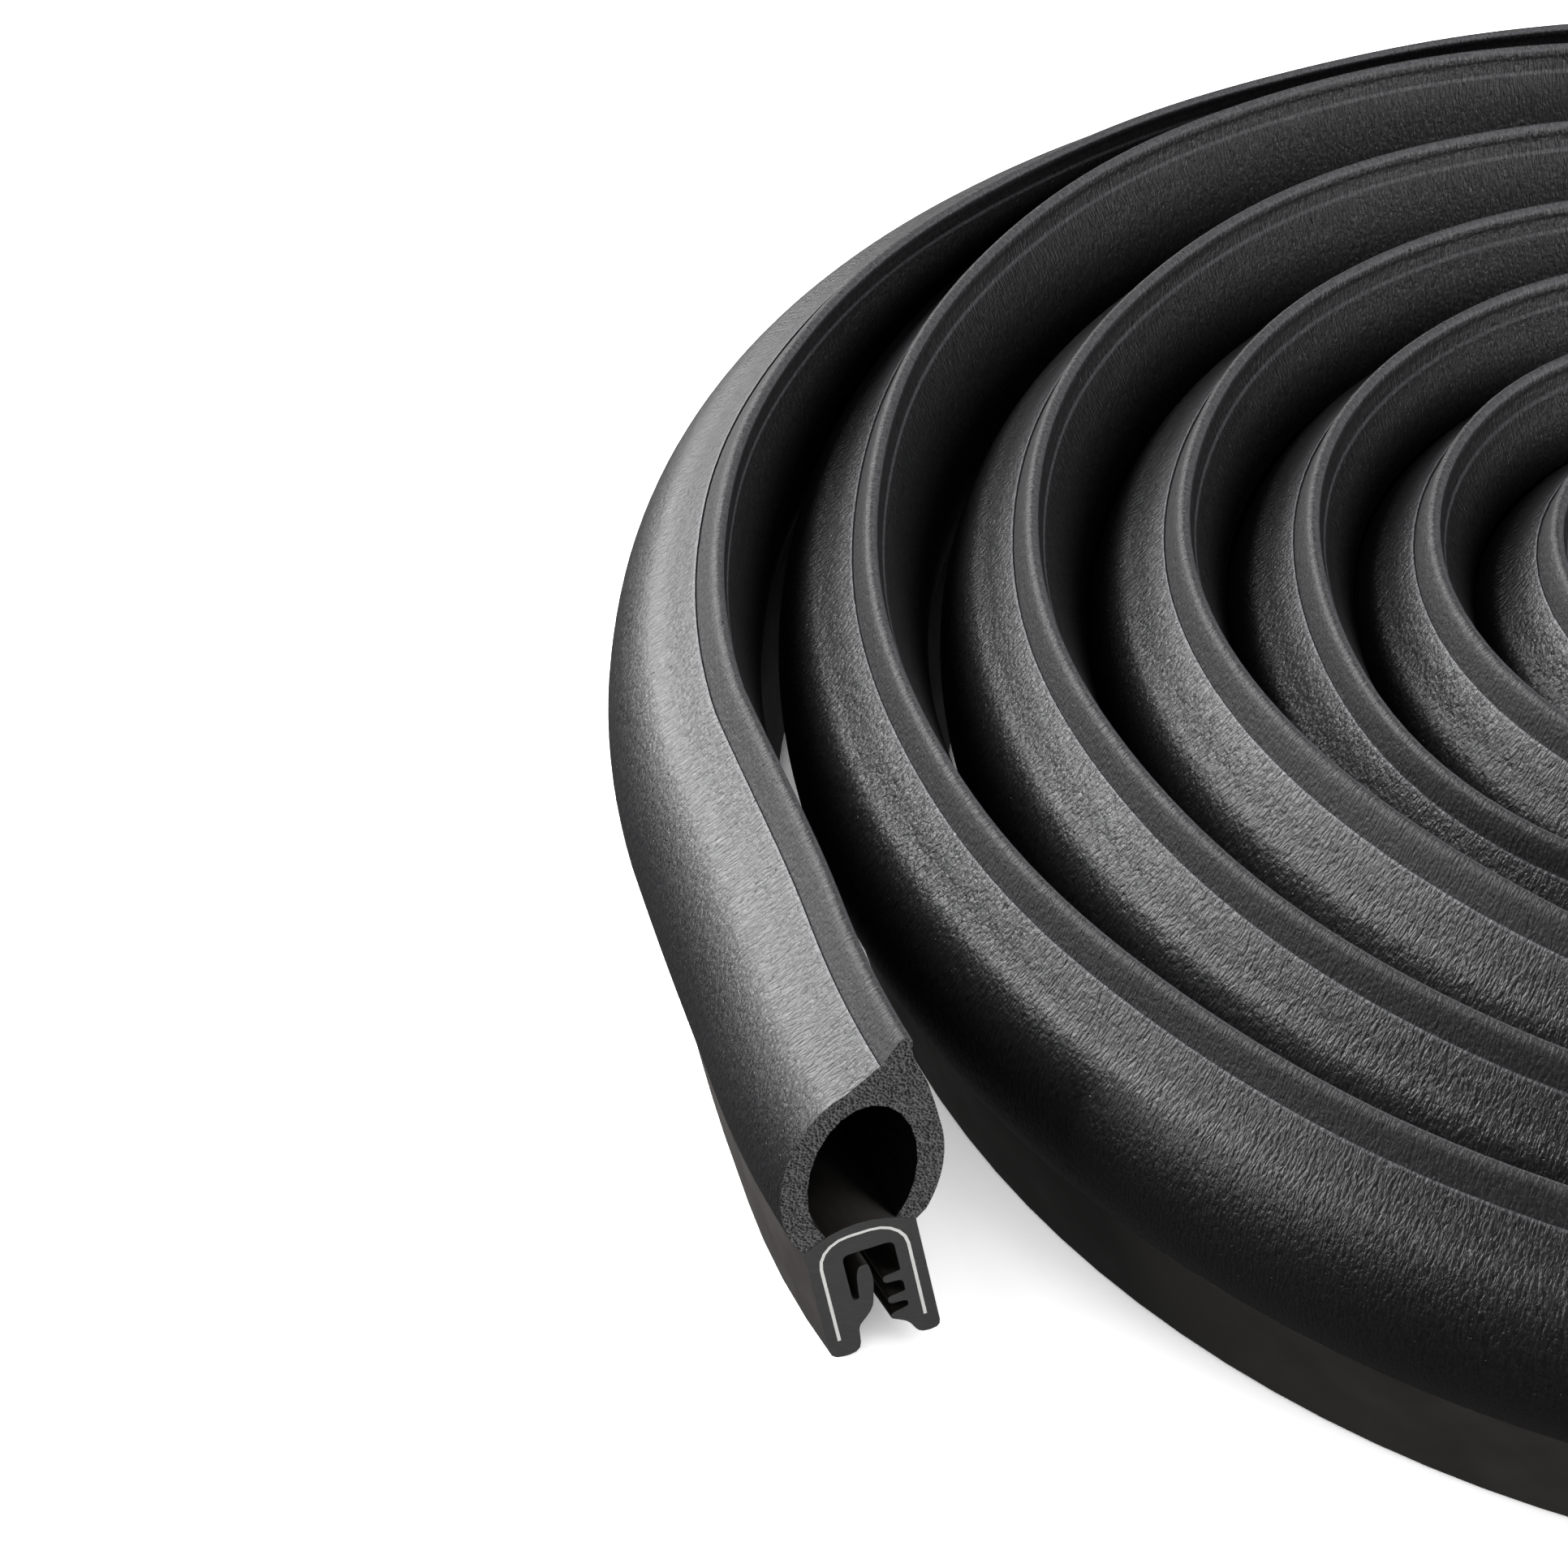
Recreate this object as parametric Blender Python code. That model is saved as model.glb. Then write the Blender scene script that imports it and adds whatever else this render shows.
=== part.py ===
# Bulb trim seal, lying as a loose flat coil with a straight free end. Metres, +Z up.
#
# One length of seal is swept along its route: a sponge bulb with an upright lip, bonded on the crown
# of a dense rubber U clip, and a bent steel strip in the clip's walls. The section's own
# axes are u, outwards from the coil's centre, and w, upwards from the clip's feet.

import math

import bmesh
import bpy
import numpy as np

# The coil
SOLD_LENGTH = 2.74
TAIL_LENGTH = 0.055
TAIL_BEARING = math.radians(196.4)
EYE_RADIUS = 0.0227
TURN_GAP = 0.0005
LOOSE_TURNS = 4.4
LOOSENING = 0.00157
DRAWN_IN = 0.81
DRAWN_IN_AT = 0.21
DRAWN_IN_OVER = 0.10
END_LEAN = math.radians(13.8)
END_LEAN_LENGTH = 0.02
COIL_LEAN = math.radians(17.2)
LEAN_LENGTH = 0.06
BACK_SWAY = -0.0100
BACK_SWAY_AT = 0.226
BACK_SWAY_OVER = 0.18
FRONT_SWAY = 0.0032
FRONT_SWAY_AT = 3.91
FRONT_SWAY_OVER = 0.07
STATIONS_PER_TURN = 16

# The clip
CHANNEL_WIDTH = 0.0050
INNER_LEG = 0.0025
OUTER_LEG = 0.0033
CLIP_HEIGHT = 0.0148
CROWN_RISE = 0.0018
CHANNEL_DEPTH = 0.0130
CHANNEL_FILLET = 0.0007
FOOT_ROUND = 0.0013
RIB_COUNT = 2
RIB_LENGTH = 0.0018
RIB_THICKNESS = 0.0013
RIB_PITCH = 0.00285
LIP_HEIGHT = 0.0040
GRIP_GAP = 0.0009
FINGER_BASE = 0.0042
FINGER_ROOT = 0.0027
FINGER_RISE = 0.0042
FINGER_TIP = 0.0009

# The steel core
CORE_THICKNESS = 0.0004
CORE_CLEARANCE = 0.0004
CORE_INSET = 0.0012
CORE_COVER = 0.0013
CORE_BEND = 0.0032
CORE_FOOT = 0.0024

# The sponge bulb
BULB_WIDTH = 0.0153
BULB_HEIGHT = 0.0222
BULB_WALL = 0.0025
BULB_OFFSET = 0.0010
BULB_SEAT = 0.0035
BULB_TILT = math.radians(5.7)
BULB_FOOT = 0.0010
BOND_GAP = 0.00035
CREASE_REACH = 0.0017
CREASE_RISE = 0.0019
RIM_REACH = 0.0048
RIM_RISE = 0.0044
RIM_THICKNESS = 0.0013
RIM_DEPTH = 0.0032
TOP_BLEND = math.radians(78)
FACE_BLEND = math.radians(158)

HALF_CLIP = (CHANNEL_WIDTH + INNER_LEG + OUTER_LEG) / 2
INNER_WALL = INNER_LEG - HALF_CLIP
OUTER_WALL = HALF_CLIP - OUTER_LEG
BULB_CENTRE = (-BULB_OFFSET, CLIP_HEIGHT + BULB_HEIGHT / 2 - BULB_SEAT)


# Height of the clip's arched crown at u.
def crown(u):
    return CLIP_HEIGHT + CROWN_RISE * (1 - (u / HALF_CLIP) ** 2)


# Points of the bulb's tilted oval, drawn inset from its skin, at angles from the outward side.
def oval(angles, inset=0.0):
    rise = (BULB_HEIGHT / 2 - inset) * np.sin(angles)
    reach = (BULB_WIDTH / 2 - inset) * np.cos(angles)
    u = BULB_CENTRE[0] + reach - math.tan(BULB_TILT) * rise
    return np.column_stack([u, BULB_CENTRE[1] + rise])


# Angle at which the hollow's oval meets the bonded seam, found by halving between two angles.
def seam_angle(above, below):
    for _ in range(50):
        middle = (above + below) / 2
        u, w = oval(np.array([middle]), BULB_WALL)[0]
        if w > crown(u) + BOND_GAP:
            above = middle
        else:
            below = middle
    return above


# Points of a quadratic curve between two points, drawn towards a third.
def curve(start, pull, finish, count):
    t = np.linspace(0, 1, count)[:, None]
    start, pull, finish = (np.array(point) for point in (start, pull, finish))
    return (1 - t) ** 2 * start + 2 * t * (1 - t) * pull + t ** 2 * finish


# The upright lip on the bulb's inner shoulder, from the crease over the rim and down the inner face.
def lip_points():
    top_u, top_w = oval(np.array([math.pi / 2]))[0]
    rim_w = top_w + RIM_RISE
    rim_u = top_u - RIM_REACH
    crease = (top_u - CREASE_REACH, top_w + CREASE_RISE)
    rim = [
        (rim_u + RIM_THICKNESS, rim_w - RIM_THICKNESS / 3),
        (rim_u + RIM_THICKNESS / 2, rim_w),
        (rim_u, rim_w - RIM_THICKNESS / 3),
    ]
    face_top = (rim_u, rim_w - RIM_DEPTH)
    face_foot = oval(np.array([FACE_BLEND]))[0]
    pull = (face_foot[0], (face_top[1] + face_foot[1]) / 2)
    return np.vstack([crease, rim, curve(face_top, pull, face_foot, 3)[:2]])


# The sponge's section, anticlockwise: outer side, lip, inner side, then back through the hollow.
def sponge_outline():
    foot_angle = math.asin((BULB_SEAT + BULB_FOOT) * 2 / BULB_HEIGHT - 1)
    outer = oval(np.linspace(foot_angle, TOP_BLEND, 7))
    inner = oval(np.linspace(FACE_BLEND, math.pi - foot_angle, 4))
    seam_low = -math.pi / 2
    hollow_start = seam_angle(math.pi, math.pi - seam_low)
    hollow_finish = seam_angle(0, seam_low)
    hollow = oval(np.linspace(hollow_start, hollow_finish, 9), BULB_WALL)
    foot_w = CLIP_HEIGHT + BOND_GAP
    return np.vstack([
        [(HALF_CLIP, foot_w)], outer, lip_points(), inner, [(-HALF_CLIP, foot_w)], hollow,
    ])


# One gripping rib on the inner leg, centred at a height and tapering to its tip.
def rib_points(height):
    root, tip = RIB_THICKNESS / 2, RIB_THICKNESS / 3
    tip_u = INNER_WALL + RIB_LENGTH
    return [
        (INNER_WALL, height - root),
        (tip_u, height - tip),
        (tip_u, height + tip),
        (INNER_WALL, height + root),
    ]


# The gripping finger that curves up from the outer leg, from its back round its tip to its belly.
def finger_points():
    root_top = FINGER_BASE + FINGER_ROOT
    tip_w = root_top + FINGER_RISE
    belly_u = INNER_WALL + RIB_LENGTH + GRIP_GAP
    back_u = belly_u + FINGER_TIP
    return [
        (OUTER_WALL, root_top),
        (back_u + FINGER_TIP / 3, tip_w - FINGER_TIP / 2),
        (back_u - FINGER_TIP / 3, tip_w),
        (belly_u, tip_w - FINGER_TIP),
        (belly_u + FINGER_TIP / 3, root_top),
        (OUTER_WALL, FINGER_BASE),
    ]


# The clip's section, anticlockwise: crown, inner leg with its lip and ribs, channel, outer leg.
def clip_outline():
    crown_u = np.linspace(HALF_CLIP, -HALF_CLIP, 5)
    points = list(zip(crown_u, crown(crown_u)))
    points += [
        (-HALF_CLIP, FOOT_ROUND),
        (-HALF_CLIP + FOOT_ROUND, 0),
        (INNER_WALL, 0.3 * FOOT_ROUND),
        (INNER_WALL + RIB_LENGTH, LIP_HEIGHT - RIB_THICKNESS),
        (INNER_WALL + RIB_LENGTH, LIP_HEIGHT - RIB_THICKNESS / 2),
        (INNER_WALL, LIP_HEIGHT),
    ]
    for rib in range(RIB_COUNT):
        points += rib_points(LIP_HEIGHT - RIB_THICKNESS / 2 + RIB_PITCH * (rib + 0.75))
    points += [
        (INNER_WALL, CHANNEL_DEPTH - CHANNEL_FILLET),
        (INNER_WALL + CHANNEL_FILLET, CHANNEL_DEPTH),
        (OUTER_WALL - CHANNEL_FILLET, CHANNEL_DEPTH),
        (OUTER_WALL, CHANNEL_DEPTH - CHANNEL_FILLET),
    ]
    points += finger_points()
    points += [
        (OUTER_WALL, FOOT_ROUND),
        (OUTER_WALL + FOOT_ROUND, 0),
        (HALF_CLIP - FOOT_ROUND, 0),
        (HALF_CLIP, FOOT_ROUND),
    ]
    return np.array(points)


# A U strip round the core's middle line, half a thickness to each side and longer at its feet.
def strip_outline(half_thickness, extra_length):
    half_span = HALF_CLIP - CORE_INSET
    top = CLIP_HEIGHT + CROWN_RISE - CORE_COVER
    foot = CORE_FOOT - extra_length
    bend = min(CORE_BEND, half_span)
    sides = []
    for side in (half_thickness, -half_thickness):
        radius = bend + side
        low = top - bend
        sides.append(np.array([
            (half_span + side, foot),
            (half_span + side, low),
            (half_span - bend, low + radius),
            (bend - half_span, low + radius),
            (-half_span - side, low),
            (-half_span - side, foot),
        ]))
    return np.vstack([sides[0], sides[1][::-1]])


# A section leaned outwards about the clip's feet, and set down with its clip on the floor.
def leaned(outline, clip, lean):
    u, w = outline.T
    clip_u, clip_w = clip.T
    floor = (clip_w * math.cos(lean) - clip_u * math.sin(lean)).min()
    across = u * math.cos(lean) + w * math.sin(lean)
    up = w * math.cos(lean) - u * math.sin(lean) - floor
    return np.column_stack([across, up])


# The lean at a distance from the free end, which stands more upright than the coil does.
def lean_at(distance):
    share = np.clip((distance - END_LEAN_LENGTH) / LEAN_LENGTH, 0, 1)
    return END_LEAN + (COIL_LEAN - END_LEAN) * share * share * (3 - 2 * share)


# The outermost and innermost skin of a section at one level, or None above or below it.
def cut_across(outline, level):
    low, high = outline, np.roll(outline, -1, axis=0)
    cut = (low[:, 1] - level) * (high[:, 1] - level) < 0
    if not cut.any():
        return None
    share = (level - low[cut, 1]) / (high[cut, 1] - low[cut, 1])
    across = low[cut, 0] + share * (high[cut, 0] - low[cut, 0])
    return across.max(), across.min()


# How close two turns can lie: no skin of one may reach the clip of the next turn out.
def closest_turns(sponge, clip):
    widest = 0.0
    for level in np.linspace(clip[:, 1].min(), clip[:, 1].max(), 200)[1:-1]:
        cuts = [cut for cut in (cut_across(clip, level), cut_across(sponge, level)) if cut]
        widest = max(widest, max(outer for outer, _ in cuts) - cuts[0][1])
    return widest


# A bell-shaped stretch of the route, one at its middle and fading out to both sides. All in turns.
def bell(passed, middle, over):
    return np.exp(-((passed - middle) / over) ** 2)


# How far the rim sways outwards, some turns in from the free end. The outermost turn falls in over
# the next on its far side, and near the front one inner turn falls out against the turn around it.
def sway_at(passed):
    back = BACK_SWAY * bell(passed, BACK_SWAY_AT, BACK_SWAY_OVER)
    front = bell(passed, FRONT_SWAY_AT, FRONT_SWAY_OVER) - bell(passed + 1, FRONT_SWAY_AT, FRONT_SWAY_OVER)
    return back + FRONT_SWAY * front


# The sponge's section in its turn. It sways from the bonded seam, which is held, up to its rim, and
# each level that is too wide for the room left by the next turn in is squeezed towards its outer
# skin, which rests on the next turn out.
def settled(outline, held, spacing, sway, next_sway):
    result = outline.copy()
    nudge = 1e-7
    seam, rim = outline[held, 1].max(), outline[:, 1].max()
    for corner, (across, level) in enumerate(outline):
        if held[corner]:
            continue
        share = max(0.0, (level - seam) / (rim - seam))
        room = spacing - TURN_GAP + (sway - next_sway) * share
        cut = cut_across(outline, level + nudge) or cut_across(outline, level - nudge)
        outer, inner = cut or (across, across)
        squeeze = min(1.0, room / max(nudge, outer - inner))
        result[corner, 0] = outer - (outer - across) * squeeze + sway * share
    return result


# Radius of the clip's middle line, some turns out from the inner end. The inner turns lie as close
# as they can, each of the outer ones loosens a little more, and the outermost is drawn in again
# on its far side, over a bell-shaped stretch, almost to the next turn.
def radius_at(out, turns, inner_pitch):
    loose = np.maximum(0, out - max(0, turns - LOOSE_TURNS))
    slack = LOOSENING * np.maximum(0, loose - 0.5)
    drawn = DRAWN_IN * slack * bell(turns - out, DRAWN_IN_AT, DRAWN_IN_OVER)
    return EYE_RADIUS + inner_pitch * out + LOOSENING * loose ** 2 / 2 - drawn


# The number of turns that uses up the sold length, found by halving.
def turns_in_length(inner_pitch):
    low, high = 0.0, 60.0
    for _ in range(60):
        middle = (low + high) / 2
        share = (np.arange(400) + 0.5) / 400
        coiled = 2 * math.pi * middle * radius_at(share * middle, middle, inner_pitch).mean()
        if coiled < SOLD_LENGTH - TAIL_LENGTH:
            low = middle
        else:
            high = middle
    return low


# The route's stations from the free end inwards: a point on the floor, a bearing, the turns passed,
# how far in the next turn's station lies, and the distance from the free end. Each stands a little
# outside the true curve, so that the flats between them run half outside it and half inside.
def route(inner_pitch):
    turns = turns_in_length(inner_pitch)
    steps = np.arange(math.ceil(turns * STATIONS_PER_TURN - 0.25))
    tail = np.array([TAIL_LENGTH, max(0.3 * TAIL_LENGTH, TAIL_LENGTH - END_LEAN_LENGTH)])
    passed = np.concatenate([0 * tail, steps / STATIONS_PER_TURN, [turns]])
    radius = radius_at(turns - passed, turns, inner_pitch)
    spacing = radius - radius_at(turns - passed - 1, turns, inner_pitch)
    bearing = TAIL_BEARING - 2 * math.pi * passed
    outside = 2 / (1 + math.cos(math.pi / STATIONS_PER_TURN))
    points = outside * radius[:, None] * np.column_stack([np.cos(bearing), np.sin(bearing)])
    points[:2] += tail[:, None] * [-math.sin(TAIL_BEARING), math.cos(TAIL_BEARING)]
    strides = np.hypot(*np.diff(points, axis=0).T)
    return points, bearing, passed, spacing, np.append(0, np.cumsum(strides))


# Sections carried to every station, as one row of corners for each station.
def carried(sections, points, bearings):
    across, up = sections[..., 0], sections[..., 1]
    x = points[:, :1] + np.cos(bearings)[:, None] * across
    y = points[:, 1:] + np.sin(bearings)[:, None] * across
    return np.stack([x, y, np.broadcast_to(up, x.shape)], axis=-1)


# The quads between neighbouring stations of one outline, whose corners start at an index.
def skin_faces(stations, corners, start):
    station, corner = np.meshgrid(np.arange(stations - 1), np.arange(corners), indexing="ij")
    here = start + station * corners
    following = (corner + 1) % corners
    quads = [here + corner, here + corners + corner, here + corners + following, here + following]
    return np.stack(quads, axis=-1).reshape(-1, 4)


# Closes the open end whose edges all lie at one station, round any slot in it.
def close_end(shape, at_end):
    edges = [edge for edge in shape.edges if edge.is_boundary and edge.verts[0].index in at_end]
    bmesh.ops.triangle_fill(shape, use_beauty=True, edges=edges)


# A swept solid of one or more outlines: the first is its outside, any others are slots through it.
def swept_piece(name, outlines, points, bearings, material):
    corners, faces, ends = [], [], [set(), set()]
    count = 0
    for outline in outlines:
        rows = carried(outline, points, bearings)
        around = rows.shape[1]
        faces.append(skin_faces(len(points), around, count))
        last = count + (len(points) - 1) * around
        ends[0].update(range(count, count + around))
        ends[1].update(range(last, last + around))
        corners.append(rows.reshape(-1, 3))
        count += len(points) * around
    mesh = bpy.data.meshes.new(name)
    mesh.from_pydata(np.vstack(corners).tolist(), [], np.vstack(faces).tolist())
    shape = bmesh.new()
    shape.from_mesh(mesh)
    shape.verts.ensure_lookup_table()
    for at_end in ends:
        close_end(shape, at_end)
    bmesh.ops.recalc_face_normals(shape, faces=shape.faces)
    shape.to_mesh(mesh)
    shape.free()
    mesh.shade_smooth()
    mesh.set_sharp_from_angle(angle=math.radians(40))
    mesh.materials.append(material)
    piece = bpy.data.objects.new(name, mesh)
    bpy.context.scene.collection.objects.link(piece)
    return piece


def plain_material(name, colour, roughness, metallic):
    material = bpy.data.materials.new(name)
    material.use_nodes = True
    surface = material.node_tree.nodes["Principled BSDF"]
    surface.inputs["Base Color"].default_value = (*colour, 1)
    surface.inputs["Roughness"].default_value = roughness
    surface.inputs["Metallic"].default_value = metallic
    return material


def clear_scene():
    for item in list(bpy.data.objects):
        bpy.data.objects.remove(item, do_unlink=True)


def main():
    clear_scene()
    sponge, clip = sponge_outline(), clip_outline()
    core = strip_outline(CORE_THICKNESS / 2, 0)
    slot = strip_outline(CORE_THICKNESS / 2 + CORE_CLEARANCE, CORE_CLEARANCE)
    held = sponge[:, 1] < crown(sponge[:, 0]) + 1.5 * BOND_GAP
    closest = closest_turns(leaned(sponge, clip, COIL_LEAN), leaned(clip, clip, COIL_LEAN))
    points, bearings, passed, spacings, distances = route(closest + TURN_GAP)
    sponges, clips, cores, slots = (
        np.array([leaned(outline, clip, lean) for lean in lean_at(distances)])
        for outline in (sponge, clip, core, slot)
    )
    rows = zip(sponges, spacings, sway_at(passed), sway_at(passed + 1))
    sponges = np.array([settled(outline, held, *row) for outline, *row in rows])
    spread = carried(sponges, points, bearings)[..., :2].reshape(-1, 2)
    points = points - (spread.min(axis=0) + spread.max(axis=0)) / 2
    sponge_rubber = plain_material("Sponge rubber", (0.035, 0.035, 0.036), 0.62, 0.0)
    dense_rubber = plain_material("Dense rubber", (0.022, 0.022, 0.023), 0.45, 0.0)
    steel = plain_material("Bright steel", (0.75, 0.76, 0.77), 0.28, 1.0)
    swept_piece("sponge_bulb", [sponges], points, bearings, sponge_rubber)
    swept_piece("dense_clip", [clips, slots], points, bearings, dense_rubber)
    swept_piece("steel_core", [cores], points, bearings, steel)


main()
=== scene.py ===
import math

import bmesh
import bpy
import numpy as np
from mathutils import Matrix, Vector


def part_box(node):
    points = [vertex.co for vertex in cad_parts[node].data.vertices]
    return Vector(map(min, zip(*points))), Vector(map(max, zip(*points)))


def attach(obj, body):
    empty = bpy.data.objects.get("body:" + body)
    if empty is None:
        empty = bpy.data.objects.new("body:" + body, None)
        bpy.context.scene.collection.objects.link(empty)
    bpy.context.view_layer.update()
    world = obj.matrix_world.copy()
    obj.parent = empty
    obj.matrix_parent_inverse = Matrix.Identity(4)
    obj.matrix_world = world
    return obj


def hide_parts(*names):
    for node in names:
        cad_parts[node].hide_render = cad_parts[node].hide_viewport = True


# Bulb trim seal lying as a loose flat coil: sponge bulb, dense clip and steel core, in metres.
# Sections are drawn in u, outwards from the coil's eye, and w, upwards from the clip's feet.

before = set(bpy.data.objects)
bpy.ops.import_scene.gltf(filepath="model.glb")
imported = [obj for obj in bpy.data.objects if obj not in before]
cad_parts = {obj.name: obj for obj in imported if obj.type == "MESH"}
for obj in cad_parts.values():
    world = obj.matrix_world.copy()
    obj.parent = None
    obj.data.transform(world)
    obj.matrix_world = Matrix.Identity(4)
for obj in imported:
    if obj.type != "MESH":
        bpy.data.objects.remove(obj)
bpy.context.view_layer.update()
print("frame loaded:", sorted(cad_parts))


# values shared by the pieces

coil = {
    "soldLength": 2.74,             # metres of seal from cut end to cut end
    "tailLength": 0.055,            # straight free end
    "tailBearing": 196.4,           # degrees, where the straight end leaves the coil
    "eyeRadius": 0.0227,
    "innerPitch": 0.012926,         # closest that two turns lie
    "turnGap": 0.0005,
    "looseTurns": 4.4,              # outer turns that lie looser
    "loosening": 0.00157,           # more pitch on each looser turn
    "drawnIn": 0.81,                # how far the outermost turn closes up on its far side
    "drawnInAt": 0.21,
    "drawnInOver": 0.10,
    "endLean": 13.1,                # degrees that the section leans outwards at the free end
    "endLeanLength": 0.02,
    "coilLean": 17.4,               # and in the coil
    "leanLength": 0.06,
    "bow": 0.0014,                  # how far the straight end bows outwards just behind the cut
    "kick": 2.0,                    # degrees that the clip's feet swing out there
    "kickRise": 0.022,
    "kickFrom": 0.030,
    "kickFade": 0.060,
    "kickPivot": 0.038,             # height of the crease, about which they swing
    "backSway": -0.0108,            # the rim of the outermost turn falls in on the far side
    "backSwayAt": 0.226,
    "backSwayOver": 0.18,
    "frontSway": 0.0032,            # one inner turn falls out against the turn around it
    "frontSwayAt": 3.91,
    "frontSwayOver": 0.07,
    "stations": 1001,               # rings of the bulb along the whole length
    "clipStep": 2,                  # the clip and its core take every second ring
}

bulb = {
    "width": 0.01622,
    "height": 0.02353,
    "wall": 0.00265,
    "offset": 0.00106,              # middle of the bulb, towards the eye
    "seat": 0.00371,                # what the clip's crown cuts off the oval
    "tilt": 5.7,                    # degrees
    "foot": 0.0010,
    "seamBand": 0.0003,             # skin this near the crown isn't squeezed
    "bondGap": 0.00006,             # glued seam, drawn as a hairline
    "topBlend": 78.0,               # degrees round the oval where the lip leaves it
    "faceBlend": 158.0,             # and where its inner side comes back
    "creaseReach": 0.0018,
    "creaseRise": 0.00201,
    "rimReach": 0.00509,
    "rimRise": 0.00466,
    "rimThickness": 0.00138,
    "rimDepth": 0.00339,
    "notch": 0.00022,               # step in the skin at the crease
    "rimWave": 0.00025,             # slow wander of the lip along the seal
    "waveFrom": 0.031,              # height where the wander begins
    "waveOver": 0.007,
}

clip = {
    "channel": 0.0053,              # clear width between the legs
    "innerLeg": 0.00265,
    "outerLeg": 0.0035,
    "height": 0.01569,              # feet to the crown's shoulders
    "crownRise": 0.00191,
    "depth": 0.01378,               # of the channel
    "footRound": 0.0023,
    "tight": 0.0005,                # radius in the channel's corners
    "ribs": 2,
    "ribLength": 0.00191,
    "ribThickness": 0.00138,
    "ribPitch": 0.00302,
    "lipHeight": 0.00424,
    "gripGap": 0.00095,             # from the ribs' tips to the finger
    "fingerBase": 0.00445,
    "fingerRoot": 0.00286,
    "fingerRise": 0.00445,
    "fingerTip": 0.00117,
}

core = {
    "thickness": 0.00034,
    "slotGap": 0.00002,             # the strip fits its slot, no gap shows
    "inset": 0.00127,               # rubber beside the strip's middle line
    "cover": 0.00138,               # and above it
    "bend": 0.00339,
    "foot": 0.0024,                 # height of the strip's two edges
}

halfClip = (clip["channel"] + clip["innerLeg"] + clip["outerLeg"]) / 2
innerWall = clip["innerLeg"] - halfClip
outerWall = halfClip - clip["outerLeg"]
bulbMiddle = (-bulb["offset"], clip["height"] + bulb["height"] / 2 - bulb["seat"])


# outlines

def crownHeight(u):
    # parabola: height + rise (1 - (u / half)^2)
    return clip["height"] + clip["crownRise"] * (1 - (u / halfClip) ** 2)


def ovalPoints(angles, inset=0.0):
    # ellipse (a cos t - tan(tilt) b sin t, b sin t) about the bulb's middle, drawn inset from its skin
    rise = (bulb["height"] / 2 - inset) * np.sin(angles)
    reach = (bulb["width"] / 2 - inset) * np.cos(angles)
    u = bulbMiddle[0] + reach - math.tan(math.radians(bulb["tilt"])) * rise
    return np.column_stack([u, bulbMiddle[1] + rise])


def smoothCurve(knots, count):
    # Catmull-Rom through the knots: each span is a cubic whose slopes are half the chord over two knots
    knots = np.array(knots, float)
    padded = np.vstack([2 * knots[0] - knots[1], knots, 2 * knots[-1] - knots[-2]])
    t = np.linspace(0, len(knots) - 1, count)
    span = np.minimum(t.astype(int), len(knots) - 2)
    s = (t - span)[:, None]
    a, b, c, d = (padded[span + k] for k in range(4))
    return 0.5 * (2 * b + (c - a) * s + (2 * a - 5 * b + 4 * c - d) * s ** 2
                  + (3 * b - a - 3 * c + d) * s ** 3)


def rounded(corners, radii, steps=4):
    # each corner becomes a quadratic curve that starts and ends one radius away on its two sides
    corners = np.array(corners, float)
    radii = np.broadcast_to(np.array(radii, float), len(corners))
    before = np.roll(corners, 1, axis=0) - corners
    after = np.roll(corners, -1, axis=0) - corners
    lengthBefore = np.linalg.norm(before, axis=1)
    lengthAfter = np.linalg.norm(after, axis=1)
    reach = np.minimum(radii, 0.45 * np.minimum(lengthBefore, lengthAfter))
    start = corners + before * (reach / lengthBefore)[:, None]
    finish = corners + after * (reach / lengthAfter)[:, None]
    t = np.linspace(0, 1, steps)[None, :, None]
    arcs = (1 - t) ** 2 * start[:, None] + 2 * t * (1 - t) * corners[:, None] + t ** 2 * finish[:, None]
    flat = arcs.reshape(-1, 2)
    apart = np.linalg.norm(flat - np.roll(flat, 1, axis=0), axis=1) > 2e-6
    return flat[apart]


def seamAngle(above, below):
    # halving: where the hollow's oval meets the bonded seam
    for _ in range(40):
        middle = (above + below) / 2
        u, w = ovalPoints(np.array([middle]), bulb["wall"])[0]
        above, below = (middle, below) if w > crownHeight(u) + bulb["bondGap"] else (above, middle)
    return above


def lipPoints():
    # the crease where the lip leaves the bulb, the rim, and the line pressed into the lip's inner side
    topU, topW = ovalPoints(np.array([math.pi / 2]))[0]
    crease = (topU - bulb["creaseReach"], topW + bulb["creaseRise"])
    rim = (topU - bulb["rimReach"], topW + bulb["rimRise"])
    return crease, rim, (rim[0], rim[1] - bulb["rimDepth"])


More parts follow.
